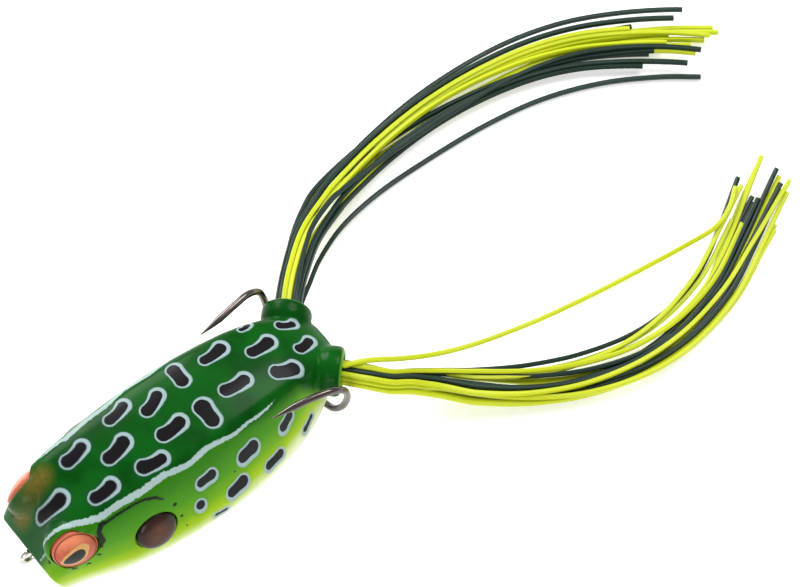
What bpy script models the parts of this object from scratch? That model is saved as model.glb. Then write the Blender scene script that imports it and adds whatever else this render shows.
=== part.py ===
"""Topwater popper: a hollow soft-plastic frog on a double hook, with two legs of silicone strands.

Metres, +Z up. The belly rests on z = 0, the nose points to -Y, and the frog's left side is +X.
"""
import math

import bmesh
import bpy
from mathutils import Matrix, Vector

MM = 0.001
FIT_GAP = 0.3               # between touching pieces, mm

# Body. Each station: y, belly height, back height, greatest half-width, shoulder half-width,
# depth of the valley between the brows.
BODY_STATIONS = [
    (-28.8, 2.6, 8.2, 7.6, 7.2, 0.0),
    (-26.8, 1.2, 12.4, 8.2, 7.6, 0.9),
    (-24.6, 0.5, 16.2, 8.8, 7.9, 1.4),
    (-21.8, 0.1, 18.6, 9.5, 8.1, 1.2),
    (-17.0, 0.0, 19.5, 10.7, 8.5, 0.5),
    (-10.0, 0.0, 20.2, 12.0, 8.9, 0.0),
    (-2.0, 0.0, 20.6, 12.7, 9.1, 0.0),
    (6.0, 0.0, 20.5, 12.6, 8.9, 0.0),
    (13.0, 0.3, 19.8, 11.8, 8.4, 0.0),
    (19.0, 1.3, 18.6, 10.4, 7.6, 0.0),
    (24.0, 3.4, 16.8, 8.3, 6.4, 0.0),
    (28.0, 5.6, 14.4, 5.8, 4.4, 0.0),
    (30.4, 7.4, 12.0, 3.2, 2.4, 0.0),
]
BODY_LENGTH_SCALE = 1.0     # stretch the whole lure with these two; its fittings follow
BODY_WIDTH_SCALE = 1.0
WALL = 1.9
LIP_SLANT = 0.36            # how far the mouth face leans back, mm per mm below the upper lip
LEAN_LENGTH = 14.0          # how far back the slant reaches
CAVITY_FRONT = -17.5
CAVITY_BACK = 24.0
RING_POINTS = 2             # points per control span round the body
STATION_STEPS = 3           # rings per station span

# Mouth cup.
CUP_WIDTH, CUP_HEIGHT, CUP_DEPTH = 12.6, 5.0, 4.0

# Line tie and nose.
TIE_Z = 5.3
TIE_WIRE = 0.9
TIE_FRONT_Y, TIE_RING_RADIUS = -28.6, 1.35
TIE_REAR_Y, TIE_LOOP_RADIUS = -14.6, 1.6
GROMMET_RADIUS, GROMMET_BACK_Y, GROMMET_LENGTH = 1.6, -17.2, 4.0
NOSE_HOLE_START = 0.8       # share of the cup's depth at which the nose hole begins
NOSE_HOLE_LENGTH = 16.0

# Eyes and ears, given for the left side.
EYE_CENTRE, EYE_NORMAL, EYE_RADIUS = (7.0, -23.8, 13.6), (0.92, -0.25, 0.30), 3.75
EYE_SOCKET_DEPTH, EYE_DISC_THICKNESS, EYE_DOME = 1.5, 0.6, 1.15
EAR_CENTRE, EAR_NORMAL, EAR_RADIUS = (10.8, -11.0, 9.9), (0.94, -0.06, 0.33), 3.5
EAR_SOCKET_DEPTH, EAR_DOME = 0.9, 1.3

# Leg bosses, given for the left side.
BOSS_MOUTH, BOSS_ANGLE = (7.4, 28.8, 11.6), 45.0
BOSS_RADIUS, BOSS_ROOT_RADIUS, BOSS_LENGTH, BOSS_LIP = 4.15, 3.7, 6.5, 0.9
BORE_RADIUS, BORE_DEPTH = 2.9, 4.2
COLLAR_LENGTH, COLLAR_RECESS = 2.6, 1.0

# Double hook: half of one bent wire, from the point to the shank.
HOOK_WIRE = 1.2
HOOK_POINT_LENGTH = 4.2
HOOK_ROUTE = [
    (9.5, 13.0, 17.5), (9.9, 16.5, 17.5), (10.5, 20.4, 17.4), (11.1, 23.6, 16.8),
    (11.35, 25.8, 14.9), (11.2, 26.7, 12.1), (10.7, 26.9, 9.0), (9.8, 26.6, 5.8),
    (8.2, 26.1, 3.3), (6.0, 25.9, 2.0), (3.8, 25.5, 1.5), (2.2, 24.0, 1.35),
    (1.3, 21.4, 1.9), (1.0, 18.0, 3.1), (0.95, 12.0, 4.6), (0.95, 4.0, 5.1),
    (0.95, -4.0, 5.3), (0.95, -9.4, 5.3), (1.45, -11.6, 5.3), (1.35, -13.4, 5.3),
]
HOOK_EYE_HALF_WIDTH, HOOK_EYE_BOW = 0.8, 0.25
BARB_Y, BARB_LENGTH, BARB_HEIGHT = 17.4, 2.0, 0.75
BARB_ROOT_RADIUS, BARB_TIP_RADIUS, BARB_SPLAY = 0.42, 0.08, 0.25
SLOT_HALF_WIDTH, SLOT_FRONT, SLOT_BACK, SLOT_TOP = 2.5, 13.5, 25.5, 5.0
WEIGHT_FRONT, WEIGHT_BACK, WEIGHT_HALF_WIDTH, WEIGHT_BOTTOM, WEIGHT_TOP = -3.0, 9.0, 3.6, 2.5, 7.4
WEIGHT_EDGE = 1.1

# Silicone leg strands, square cut.
STRAND_WIDTH = 0.78
STRAND_CLEARANCE = 0.06
STRAND_PITCH = STRAND_WIDTH + STRAND_CLEARANCE
STRAND_START = 0.4
STRAND_POINTS = 20
STRANDS_PER_ROW = (3, 4, 5, 4, 3)
ROW_SHIFT = 0.1
SPREAD_START, SPREAD_END = STRAND_WIDTH + 2 * STRAND_CLEARANCE, 2.7
LEFT_LEG_ROUTE = [
    (7.4, 28.8, 11.6), (9.9, 31.2, 11.2), (12.2, 34.6, 9.0), (13.6, 38.8, 6.2), (15.9, 43.2, 4.0),
    (19.6, 48.0, 2.8), (24.5, 55.0, 2.2), (28.6, 63.0, 2.0), (31.0, 72.0, 1.8), (31.0, 81.0, 1.7),
    (28.7, 90.5, 1.6), (24.4, 99.5, 1.6), (20.2, 107.6, 1.6), (16.6, 115.0, 1.6),
]
RIGHT_LEG_ROUTE = [
    (-7.4, 28.8, 11.6), (-9.9, 31.2, 11.2), (-13.5, 34.8, 9.4), (-18.2, 40.0, 7.2), (-21.7, 45.4, 5.2),
    (-24.4, 51.6, 3.8), (-26.5, 61.0, 2.6), (-27.2, 71.5, 2.1), (-26.7, 82.0, 1.8), (-25.2, 92.0, 1.7),
    (-22.4, 101.0, 1.6), (-18.3, 109.0, 1.6), (-13.3, 116.4, 1.6), (-7.6, 123.0, 1.6),
]
LEFT_STRAY_ROUTE = [
    (7.7, 29.1, 13.95), (8.4, 31.2, 13.9), (9.2, 34.0, 12.5), (10.7, 38.6, 9.8), (12.0, 44.0, 6.8),
    (13.2, 50.0, 4.4), (14.3, 57.0, 2.4), (15.5, 65.0, 1.0), (16.9, 74.0, 0.6), (18.3, 84.0, 0.6),
    (19.6, 92.0, 1.4), (20.4, 97.4, 2.6), (19.0, 101.6, 2.8), (16.6, 105.0, 2.7),
]
RIGHT_STRAY_ROUTE = [
    (-6.5, 30.3, 9.9), (-8.2, 32.4, 9.1), (-10.5, 35.4, 7.6), (-14.6, 40.8, 4.7), (-18.4, 48.4, 2.2),
    (-20.3, 57.4, 0.9), (-20.5, 68.0, 0.6), (-19.8, 80.0, 0.6), (-17.9, 91.0, 0.6), (-14.2, 101.0, 0.6),
    (-9.2, 109.5, 0.6), (-4.6, 115.5, 0.6),
]
DARK_STRANDS = {
    "left": (4, 7, 9, 10, 13, 14, 17),
    "right": (3, 6, 7, 11, 12, 14, 15, 18, 19),
}


def clear_scene():
    for obj in list(bpy.data.objects):
        bpy.data.objects.remove(obj, do_unlink=True)


def material(name, color, roughness, metallic=0.0):
    found = bpy.data.materials.get(name)
    if found:
        return found
    made = bpy.data.materials.new(name)
    made.use_nodes = True
    shader = made.node_tree.nodes["Principled BSDF"]
    shader.inputs["Base Color"].default_value = (*color, 1.0)
    shader.inputs["Roughness"].default_value = roughness
    shader.inputs["Metallic"].default_value = metallic
    return made


def link(name, data, finish=None):
    obj = bpy.data.objects.new(name, data)
    bpy.context.scene.collection.objects.link(obj)
    if finish:
        data.materials.append(finish)
    return obj


def from_bmesh(name, bm, finish=None, smooth=True):
    bmesh.ops.recalc_face_normals(bm, faces=bm.faces)
    mesh = bpy.data.meshes.new(name)
    bm.to_mesh(mesh)
    bm.free()
    if smooth:
        mesh.shade_smooth()
        mesh.set_sharp_from_angle(angle=math.radians(40))
    return link(name, mesh, finish)


def boolean(obj, cutter, operation):
    """Cut or join with a guide object that is itself left out of the build."""
    cutter.hide_render = True
    cutter.display_type = "WIRE"
    step = obj.modifiers.new(cutter.name, "BOOLEAN")
    step.operation = operation
    step.solver = "EXACT"
    step.object = cutter


def spline(values, position):
    """Catmull-Rom through a list of vectors; position runs from 0 to len(values) - 1."""
    last = len(values) - 1
    index = min(int(position), last - 1)
    t = position - index
    p1, p2 = values[index], values[index + 1]
    p0 = values[index - 1] if index > 0 else p1 * 2 - p2
    p3 = values[index + 2] if index + 2 <= last else p2 * 2 - p1
    return 0.5 * (p1 * 2 + (p2 - p0) * t + (p0 * 2 - p1 * 5 + p2 * 4 - p3) * t ** 2
                  + (p1 * 3 - p0 - p2 * 3 + p3) * t ** 3)


def body_sizes(inset, start, end, steps):
    """Interpolated stations between two y values, shrunk all round by the inset."""
    stations = [Vector(row) for row in BODY_STATIONS]
    total = (len(stations) - 1) * steps
    rows = []
    for i in range(total + 1):
        y, low, high, wide, shoulder, valley = spline(stations, i / steps)
        if start - 1e-6 <= y <= end + 1e-6:
            rows.append((y, max(low, 0.0) + inset, high - inset, wide - inset, shoulder - inset, valley))
    return rows


def body_ring(size, slant):
    """One closed section of the body, in metres."""
    y, low, high, wide, shoulder, valley = size
    h = high - low
    slope = wide - shoulder
    half = [
        (0.60 * wide, low),
        (0.88 * wide, low + 0.07 * h),
        (wide, low + 0.23 * h),
        (shoulder + 0.60 * slope, low + 0.52 * h),
        (shoulder + 0.14 * slope, low + 0.80 * h),
        (0.86 * shoulder, low + 0.945 * h),
        (0.48 * shoulder, high - 0.012 * h - 0.25 * valley),
    ]
    loop = [(0.0, low)] + half + [(0.0, high - valley)] + [(-x, z) for x, z in reversed(half)]
    points = [Vector(p) for p in loop]
    count = len(points)
    ring = []
    for i in range(count):
        near = [points[(i + k) % count] for k in (-1, 0, 1, 2)]
        for j in range(RING_POINTS):
            x, z = spline(near, 1 + j / RING_POINTS)
            z = max(z, low)
            back = slant * (high - z)
            ring.append(Vector((x * BODY_WIDTH_SCALE, (y + back) * BODY_LENGTH_SCALE, z)) * MM)
    return ring


def lip_lean(y):
    """The mouth face's slant, which dies away behind the lip."""
    share = min(1.0, (y - BODY_STATIONS[0][0]) / LEAN_LENGTH)
    return LIP_SLANT * (1.0 - share) ** 2


def body_loft(name, inset, start, end, steps, finish=None):
    bm = bmesh.new()
    rings = []
    rows = body_sizes(inset, start, end, steps)
    for size in rows:
        lean = lip_lean(size[0]) if inset == 0 else 0.0
        rings.append([bm.verts.new(p) for p in body_ring(size, lean)])
    for a, b in zip(rings, rings[1:]):
        for i in range(len(a)):
            j = (i + 1) % len(a)
            bm.faces.new((a[i], a[j], b[j], b[i]))
    for ring in (rings[0], rings[-1]):
        centre = bm.verts.new(sum((v.co for v in ring), Vector()) / len(ring))
        for i in range(len(ring)):
            bm.faces.new((ring[i], ring[(i + 1) % len(ring)], centre))
    return from_bmesh(name, bm, finish)


def turned(name, profile, finish=None, sides=32, start=0.0):
    """A solid turned round +Z from a list of (radius, height) in mm, closed at both ends."""
    bm = bmesh.new()
    rings = []
    for radius, height in profile:
        if radius < 1e-6:
            rings.append([bm.verts.new((0, 0, height * MM))])
            continue
        ring = []
        for i in range(sides):
            a = start + math.tau * i / sides
            ring.append(bm.verts.new((radius * math.cos(a) * MM, radius * math.sin(a) * MM, height * MM)))
        rings.append(ring)
    for a, b in zip(rings, rings[1:]):
        for i in range(sides):
            j = (i + 1) % sides
            if len(a) == 1:
                bm.faces.new((a[0], b[i], b[j]))
            elif len(b) == 1:
                bm.faces.new((a[i], a[j], b[0]))
            else:
                bm.faces.new((a[i], a[j], b[j], b[i]))
    return from_bmesh(name, bm, finish)


def place(obj, centre, normal):
    """Stand a turned piece at a point, its +Z along the normal."""
    turn = Vector(normal).to_track_quat("Z", "Y")
    obj.matrix_world = Matrix.Translation(Vector(centre) * MM) @ turn.to_matrix().to_4x4()


def mirrored(point, side):
    return (point[0] * side, point[1], point[2])


def on_body(point, side=1):
    """A point given for the left side, carried along when the body is stretched."""
    return Vector((point[0] * side * BODY_WIDTH_SCALE, point[1] * BODY_LENGTH_SCALE, point[2]))


def dome(radius, base, rise, rings=5):
    """Profile of a shallow dome on a short straight base."""
    profile = [(0.0, 0.0), (radius, 0.0), (radius, base)]
    for i in range(1, rings):
        a = math.pi / 2 * i / rings
        profile.append((radius * math.cos(a), base + rise * math.sin(a)))
    profile.append((0.0, base + rise))
    return profile


def along(route, count):
    """Evenly spaced points on a smooth curve through a route, in mm."""
    points = [Vector(p) for p in route]
    fine = [spline(points, (len(points) - 1) * i / 400) for i in range(401)]
    steps = [0.0]
    for a, b in zip(fine, fine[1:]):
        steps.append(steps[-1] + (b - a).length)
    result = []
    k = 0
    for i in range(count):
        target = steps[-1] * i / (count - 1)
        while k < 399 and steps[k + 1] < target:
            k += 1
        t = (target - steps[k]) / (steps[k + 1] - steps[k])
        result.append(fine[k].lerp(fine[k + 1], min(t, 1.0)))
    return result


def tube(name, points, radii, sides, finish=None, closed=False):
    """A round bar swept along points (mm), with a radius at each point."""
    bm = bmesh.new()
    count = len(points)
    rings = []
    side = None
    for i, p in enumerate(points):
        before = points[i - 1] if closed or i else p
        after = points[(i + 1) % count] if closed or i < count - 1 else p
        heading = (after - before).normalized()
        if side is None:
            side = heading.cross(Vector((0, 0, 1)))
            if side.length < 0.1:
                side = heading.cross(Vector((1, 0, 0)))
        side = (side - heading * side.dot(heading)).normalized()
        up = side.cross(heading)
        ring = []
        for j in range(sides):
            a = math.tau * j / sides
            ring.append(bm.verts.new((p + (side * math.cos(a) + up * math.sin(a)) * radii[i]) * MM))
        rings.append(ring)
    pairs = list(zip(rings, rings[1:]))
    if closed:
        pairs.append((rings[-1], rings[0]))
    for a, b in pairs:
        for j in range(sides):
            k = (j + 1) % sides
            bm.faces.new((a[j], a[k], b[k], b[j]))
    if not closed:
        bm.faces.new(rings[0])
        bm.faces.new(rings[-1])
    return from_bmesh(name, bm, finish)


def boss_axis(side):
    a = math.radians(BOSS_ANGLE)
    return Vector((side * math.sin(a), math.cos(a), 0.0))


def make_body():
    skin = material("green_soft_plastic", (0.03, 0.22, 0.02), 0.28)
    body = body_loft("body_shell", 0.0, -100, 100, STATION_STEPS, skin)
    for word, side in (("left", 1), ("right", -1)):
        profile = [(0.0, -BOSS_LENGTH), (BOSS_ROOT_RADIUS, -BOSS_LENGTH),
                   (BOSS_RADIUS, -2.2), (BOSS_RADIUS, -BOSS_LIP)]
        for i in range(1, 4):
            a = math.pi / 2 * i / 3
            profile.append((BOSS_RADIUS - BOSS_LIP * (1 - math.cos(a)), -BOSS_LIP * (1 - math.sin(a))))
        profile.append((0.0, 0.0))
        boss = turned(word + "_boss_guide", profile, None, 24, 0.05)
        place(boss, on_body(BOSS_MOUTH, side), boss_axis(side))
        boolean(body, boss, "UNION")
    cavity = body_loft("cavity_guide", WALL, CAVITY_FRONT, CAVITY_BACK, 2)
    boolean(body, cavity, "DIFFERENCE")
    cup = turned("cup_guide", [(0.0, -1.0)] + [(math.cos(a), math.sin(a)) for a in
                 (math.radians(d) for d in (-50, -25, 0, 25, 50))] + [(0.0, 1.0)], None, 24, 0.07)
    lip_y = BODY_STATIONS[0][0]
    slant = math.atan(LIP_SLANT)
    middle = (BODY_STATIONS[0][1] + BODY_STATIONS[0][2]) / 2
    shift = LIP_SLANT * (BODY_STATIONS[0][2] - middle)
    cup_centre = on_body((0, lip_y + shift, middle))
    cup.matrix_world = (Matrix.Translation(cup_centre * MM)
                        @ Matrix.Rotation(slant, 4, "X")
                        @ Matrix.Diagonal((CUP_WIDTH / 2, CUP_DEPTH, CUP_HEIGHT / 2, 1)))
    boolean(body, cup, "DIFFERENCE")
    wide = GROMMET_RADIUS + FIT_GAP
    hole = turned("nose_hole_guide", [(0, 0), (wide, 0), (wide, NOSE_HOLE_LENGTH), (0, NOSE_HOLE_LENGTH)],
                  None, 18, 0.11)
    place(hole, (0, cup_centre.y + NOSE_HOLE_START * CUP_DEPTH, TIE_Z), (0, 1, 0))
    boolean(body, hole, "DIFFERENCE")
    for word, side in (("left", 1), ("right", -1)):
        bore = turned(word + "_bore_guide", [(0, -BORE_DEPTH), (BORE_RADIUS, -BORE_DEPTH),
                                             (BORE_RADIUS, 1), (0, 1)], None, 22, 0.13)
        place(bore, on_body(BOSS_MOUTH, side), boss_axis(side))
        boolean(body, bore, "DIFFERENCE")
        for part, centre, normal, radius, depth in (
                ("eye", EYE_CENTRE, EYE_NORMAL, EYE_RADIUS, EYE_SOCKET_DEPTH),
                ("ear", EAR_CENTRE, EAR_NORMAL, EAR_RADIUS, EAR_SOCKET_DEPTH)):
            wide = radius + FIT_GAP
            socket = turned(f"{word}_{part}_socket_guide",
                            [(0, -depth), (wide, -depth), (wide, 4), (0, 4)], None, 26, 0.09)
            place(socket, on_body(centre, side), mirrored(normal, side))
            boolean(body, socket, "DIFFERENCE")
    bm = bmesh.new()
    bmesh.ops.create_cube(bm, size=1.0)
    size = on_body((2 * SLOT_HALF_WIDTH, SLOT_BACK - SLOT_FRONT, SLOT_TOP + 2))
    centre = on_body((0, (SLOT_BACK + SLOT_FRONT) / 2, SLOT_TOP / 2 - 1))
    bmesh.ops.scale(bm, vec=size * MM, verts=bm.verts)
    bmesh.ops.translate(bm, vec=centre * MM, verts=bm.verts)
    slot = from_bmesh("belly_slot_guide", bm)
    boolean(body, slot, "DIFFERENCE")
    return body


def make_eyes_and_ears():
    foil = material("copper_foil", (0.65, 0.20, 0.08), 0.3, 0.8)
    lens = material("clear_lens", (0.80, 0.50, 0.35), 0.05)
    ear_finish = material("brown_dome", (0.05, 0.02, 0.015), 0.15)
    for word, side in (("left", 1), ("right", -1)):
        normal = Vector(mirrored(EYE_NORMAL, side)).normalized()
        floor = on_body(EYE_CENTRE, side) - normal * (EYE_SOCKET_DEPTH - FIT_GAP)
        disc = turned(word + "_eye_foil", [(0, 0), (EYE_RADIUS, 0), (EYE_RADIUS, EYE_DISC_THICKNESS),
                                           (0, EYE_DISC_THICKNESS)], foil, 28)
        place(disc, floor, normal)
        cap = turned(word + "_eye_lens", dome(EYE_RADIUS, EYE_SOCKET_DEPTH - EYE_DISC_THICKNESS - FIT_GAP,
                                              EYE_DOME), lens, 28)
        place(cap, floor + normal * (EYE_DISC_THICKNESS + FIT_GAP), normal)
        normal = Vector(mirrored(EAR_NORMAL, side)).normalized()
        ear = turned(word + "_ear", dome(EAR_RADIUS, EAR_SOCKET_DEPTH - FIT_GAP, EAR_DOME), ear_finish, 28)
        place(ear, on_body(EAR_CENTRE, side) - normal * (EAR_SOCKET_DEPTH - FIT_GAP), normal)


def ring_points(centre, radius, count):
    """A full circle of points about a centre, upright in YZ."""
    points = []
    for i in range(count):
        a = math.tau * i / count
        points.append(centre + Vector((0.0, radius * math.cos(a), radius * math.sin(a))))
    return points


def make_line_tie():
    nickel = material("bright_nickel", (0.75, 0.72, 0.68), 0.15, 1.0)
    wire = TIE_WIRE / 2
    ahead = on_body((0, TIE_FRONT_Y, TIE_Z))
    behind = on_body((0, TIE_REAR_Y, TIE_Z))
    front = ring_points(ahead, TIE_RING_RADIUS, 20)
    tie = tube("line_tie", front, [wire] * 20, 8, nickel, closed=True)
    rear = ring_points(behind, TIE_LOOP_RADIUS, 20)
    loop = tube("tie_loop_guide", rear, [wire] * 20, 8, None, closed=True)
    start = ahead.y + TIE_RING_RADIUS
    end = behind.y - TIE_LOOP_RADIUS
    thin, bite = 0.93 * wire, 0.3 * wire
    neck = turned("tie_neck_guide", [(0, -bite), (thin, -bite), (thin, end - start + bite),
                                     (0, end - start + bite)], None, 9, 0.15)
    place(neck, (0, start, TIE_Z), (0, 1, 0))
    boolean(tie, neck, "UNION")
    boolean(tie, loop, "UNION")
    rubber = material("nose_rubber", (0.02, 0.05, 0.02), 0.5)
    inner = wire + FIT_GAP
    grommet = turned("nose_grommet", [(inner, 0), (GROMMET_RADIUS, 0), (GROMMET_RADIUS, GROMMET_LENGTH),
                                      (inner, GROMMET_LENGTH), (inner, 0)], rubber, 20)
    place(grommet, on_body((0, GROMMET_BACK_Y, TIE_Z)) - Vector((0, GROMMET_LENGTH, 0)), (0, 1, 0))
    bm = bmesh.new()
    bm.from_mesh(grommet.data)
    bmesh.ops.remove_doubles(bm, verts=bm.verts, dist=1e-6)
    bmesh.ops.recalc_face_normals(bm, faces=bm.faces)
    bm.to_mesh(grommet.data)
    bm.free()


def hook_half():
    """The left half of the hook wire, from its point to the loop at the line tie."""
    return along([on_body(p) for p in HOOK_ROUTE], 62)


def make_hook():
    steel = material("black_nickel", (0.06, 0.05, 0.045), 0.2, 1.0)
    pivot = on_body((0, TIE_REAR_Y, TIE_Z))
    left = hook_half()
    bow = [pivot + Vector((HOOK_EYE_HALF_WIDTH, HOOK_EYE_BOW, 0)), pivot,
           pivot + Vector((-HOOK_EYE_HALF_WIDTH, HOOK_EYE_BOW, 0))]
    right = [Vector((-p.x, p.y, p.z)) for p in reversed(left)]
    points = left + bow + right
    travelled = [0.0]
    for a, b in zip(points, points[1:]):
        travelled.append(travelled[-1] + (b - a).length)
    radii = []
    for t in travelled:
        end = min(t, travelled[-1] - t)
        radii.append(HOOK_WIRE / 2 * min(1.0, 0.12 + 0.88 * end / HOOK_POINT_LENGTH))
    hook = tube("double_hook", [p - pivot for p in points], radii, 8, steel)
    for word, side in (("left", 1), ("right", -1)):
        barb = turned(word + "_barb_guide", [(0, 0), (BARB_ROOT_RADIUS, 0), (BARB_TIP_RADIUS, BARB_LENGTH),
                                             (0, BARB_LENGTH)], None, 6)
        near = min(left, key=lambda p: abs(p.y - BARB_Y * BODY_LENGTH_SCALE))
        root = Vector(mirrored(near, side)) - pivot - Vector((0, BARB_ROOT_RADIUS, 0.1))
        place(barb, root, (-BARB_SPLAY * side, 0.92, -BARB_HEIGHT / BARB_LENGTH))
        boolean(hook, barb, "UNION")
        barb.parent = hook
    hook.location = pivot * MM
    return hook


def make_weight(hook):
    lead = material("lead_grey", (0.25, 0.25, 0.26), 0.5, 0.8)
    bm = bmesh.new()
    bmesh.ops.create_cube(bm, size=1.0)
    size = on_body((2 * WEIGHT_HALF_WIDTH, WEIGHT_BACK - WEIGHT_FRONT, WEIGHT_TOP - WEIGHT_BOTTOM))
    centre = on_body((0, (WEIGHT_BACK + WEIGHT_FRONT) / 2, (WEIGHT_TOP + WEIGHT_BOTTOM) / 2))
    pivot = on_body((0, TIE_REAR_Y, TIE_Z))
    bmesh.ops.scale(bm, vec=size * MM, verts=bm.verts)
    bmesh.ops.translate(bm, vec=(centre - pivot) * MM, verts=bm.verts)
    bmesh.ops.bevel(bm, geom=bm.edges[:], offset=WEIGHT_EDGE * MM, segments=2, affect="EDGES")
    weight = from_bmesh("keel_weight", bm, lead)
    for word, side in (("left", 1), ("right", -1)):
        route = []
        for p in hook_half():
            if p.z < WEIGHT_TOP and abs(p.y - centre.y) < size.y:
                route.append(Vector(mirrored(p, side)) - pivot)
        groove = tube(word + "_shank_guide", route, [HOOK_WIRE / 2 + FIT_GAP] * len(route), 10)
        boolean(weight, groove, "DIFFERENCE")
        groove.parent = weight
    weight.parent = hook


def make_collars():
    rubber = material("collar_rubber", (0.02, 0.06, 0.02), 0.5)
    radius = BORE_RADIUS - FIT_GAP
    for word, side in (("left", 1), ("right", -1)):
        collar = turned(word + "_leg_collar", [(0, 0), (radius, 0), (radius, COLLAR_LENGTH),
                                               (0, COLLAR_LENGTH)], rubber, 24)
        inner_face = COLLAR_RECESS + COLLAR_LENGTH
        place(collar, on_body(BOSS_MOUTH, side) - boss_axis(side) * inner_face, boss_axis(side))


def strand_slots():
    """Row and column of each strand where the bundle leaves its boss."""
    slots = []
    for row, count in enumerate(STRANDS_PER_ROW):
        for column in range(count):
            slots.append((row - 2, column - (count - 1) / 2))
    return slots


def row_height(spread):
    """Height between rows that keeps neighbours apart as the bundle flattens out."""
    beside = STRAND_PITCH ** 2 - (0.4 * spread) ** 2
    over = STRAND_PITCH ** 2 - (0.2 * spread) ** 2
    return max(math.sqrt(max(beside, 0.0)), 0.5 * math.sqrt(max(over, 0.0)))


def strand_route(route, row, column, reach, count):
    """The path of one strand: its slot in the bundle, carried along the leg."""
    centre = along([on_body(p) for p in route], 120)
    points = []
    for i in range(count):
        t = STRAND_START / 100 + (reach - STRAND_START / 100) * i / (count - 1)
        position = t * (len(centre) - 1)
        k = min(int(position), len(centre) - 2)
        here = centre[k].lerp(centre[k + 1], position - k)
        heading = (centre[k + 1] - centre[k]).normalized()
        side = heading.cross(Vector((0, 0, 1))).normalized()
        up = side.cross(heading)
        spread = SPREAD_START + (SPREAD_END - SPREAD_START) * t ** 1.3
        height = row_height(spread)
        across = (column + ROW_SHIFT * row) * spread
        point = here + side * across + up * (row * height)
        floor = STRAND_WIDTH / 2 + STRAND_CLEARANCE + (row + 2) * height
        flat = min(1.0, max(0.0, (t - 0.25) / 0.15))
        point.z = max(point.z, floor) * (1 - flat) + floor * flat
        points.append(point)
    return points


def make_strand(name, points, pivot, finish):
    data = bpy.data.curves.new(name, "CURVE")
    data.dimensions = "3D"
    data.bevel_depth = STRAND_WIDTH / 2 * MM
    data.bevel_resolution = 0
    data.use_fill_caps = True
    path = data.splines.new("POLY")
    path.points.add(len(points) - 1)
    for point, p in zip(path.points, points):
        point.co = (*((p - pivot) * MM), 1.0)
    strand = link(name, data, finish)
    strand.location = pivot * MM
    return strand


def make_legs():
    yellow = material("chartreuse_silicone", (0.75, 0.80, 0.05), 0.4)
    dark = material("dark_green_silicone", (0.03, 0.07, 0.055), 0.35)
    for word, side, route, stray in (("left", 1, LEFT_LEG_ROUTE, LEFT_STRAY_ROUTE),
                                     ("right", -1, RIGHT_LEG_ROUTE, RIGHT_STRAY_ROUTE)):
        pivot = on_body(BOSS_MOUTH, side)
        slots = strand_slots()
        for number, (row, column) in enumerate(slots):
            reach = 1.0 - 0.15 * ((number * 0.618 + 0.11) % 1.0)
            points = strand_route(route, row, column, reach, STRAND_POINTS)
            finish = dark if number in DARK_STRANDS[word] else yellow
            make_strand(f"{word}_leg_strand_{number + 1:02d}", points, pivot, finish)
        number = len(slots)
        finish = dark if number in DARK_STRANDS[word] else yellow
        points = along([on_body(p) for p in stray], STRAND_POINTS)
        make_strand(f"{word}_leg_strand_{number + 1:02d}", points, pivot, finish)


clear_scene()
make_body()
make_eyes_and_ears()
make_line_tie()
make_weight(make_hook())
make_collars()
make_legs()
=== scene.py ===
import math
import random

import bmesh
import bpy
import numpy as np
from mathutils import Matrix, Vector


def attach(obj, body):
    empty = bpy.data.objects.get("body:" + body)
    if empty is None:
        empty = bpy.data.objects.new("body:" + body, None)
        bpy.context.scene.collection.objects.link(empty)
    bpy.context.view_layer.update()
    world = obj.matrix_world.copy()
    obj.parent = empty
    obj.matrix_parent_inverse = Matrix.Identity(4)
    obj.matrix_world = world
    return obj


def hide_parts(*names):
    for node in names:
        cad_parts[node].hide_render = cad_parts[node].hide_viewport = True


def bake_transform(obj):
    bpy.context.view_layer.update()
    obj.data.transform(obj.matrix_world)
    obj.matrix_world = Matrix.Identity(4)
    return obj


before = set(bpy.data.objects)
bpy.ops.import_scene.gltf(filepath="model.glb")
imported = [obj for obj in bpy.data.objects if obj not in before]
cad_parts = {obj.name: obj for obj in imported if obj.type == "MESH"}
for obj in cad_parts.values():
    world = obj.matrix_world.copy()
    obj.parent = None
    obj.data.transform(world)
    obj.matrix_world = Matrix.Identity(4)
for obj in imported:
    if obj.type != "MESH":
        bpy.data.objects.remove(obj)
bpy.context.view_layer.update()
print("frame loaded:", len(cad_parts), "nodes")

mm = 0.001
scene = bpy.context.scene


# camera, light and floor

shot = {
    "lookAt": (-0.0032, 0.0487, 0.0002),
    "azimuth": 52.0,
    "elevation": 61.5,
    "distance": 0.600,
    "lens": 162.0,
}


def makeCamera():
    a = math.radians(shot["azimuth"])
    e = math.radians(shot["elevation"])
    back = Vector((math.cos(e) * math.sin(a), -math.cos(e) * math.cos(a), math.sin(e)))
    data = bpy.data.cameras.new("shotCamera")
    data.sensor_width = 36.0
    data.lens = shot["lens"]
    data.clip_start = 0.01
    cam = bpy.data.objects.new("shotCamera", data)
    scene.collection.objects.link(cam)
    cam.location = Vector(shot["lookAt"]) + back * shot["distance"]
    cam.rotation_euler = back.to_track_quat("Z", "Y").to_euler()
    scene.camera = cam


studio = {"world": 0.48, "floorGlow": 0.4, "floorHalf": 2.0, "floorDrop": 0.1}
lamps = [
    # name, place, size, watts
    ("rearBox", (-0.62, 0.10, 0.42), 0.38, 4.0),
    ("overhead", (-0.05, 0.55, 0.75), 0.45, 4.5),
    ("frontFill", (0.45, -0.55, 0.35), 0.40, 2.2),
]


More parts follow.
